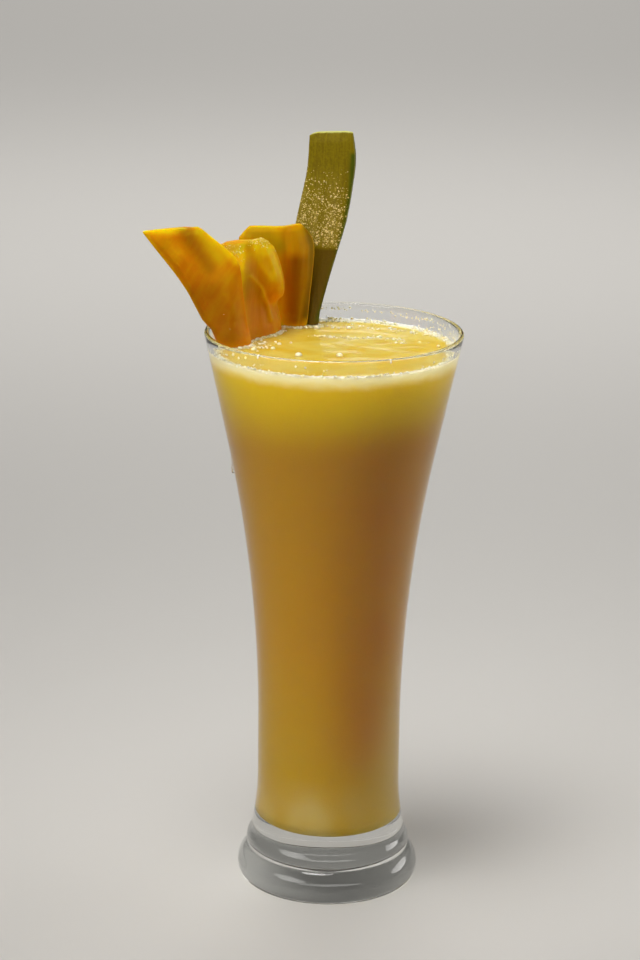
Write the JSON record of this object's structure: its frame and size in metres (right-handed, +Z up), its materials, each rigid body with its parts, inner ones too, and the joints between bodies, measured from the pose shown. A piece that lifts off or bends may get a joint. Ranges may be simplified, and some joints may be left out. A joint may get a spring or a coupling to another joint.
{
  "type": "glass of mango juice",
  "caption": "Tall footed flared glass filled with thick mango juice, garnished with a fan of mango slices and a standing strip of peel.",
  "frame": {"origin": "centre of the foot's flat base, on the surface the glass stands on", "axes": "+Z up along the glass's axis, -Y towards the side that shows the broad faces of the slices, -X towards the slice that leans out over the rim"},
  "size_m": [0.104, 0.084, 0.2482],
  "materials": {
    "glass": "clear, smooth and polished",
    "juice": "thick opaque golden yellow mango juice with a pale froth ring, wet",
    "mango_flesh": "ripe mango flesh, golden orange, moist and slightly translucent",
    "mango_peel": "olive yellow flesh on the inside, green skin on the back and edges, moist"
  },
  "bodies": {
    "root": {"glass": "glass", "juice": "juice", "mango_slice_left": "mango_flesh", "mango_slice_middle": "mango_flesh", "mango_slice_back": "mango_flesh", "mango_peel_strip": "mango_peel"}
  },
  "joints": []
}
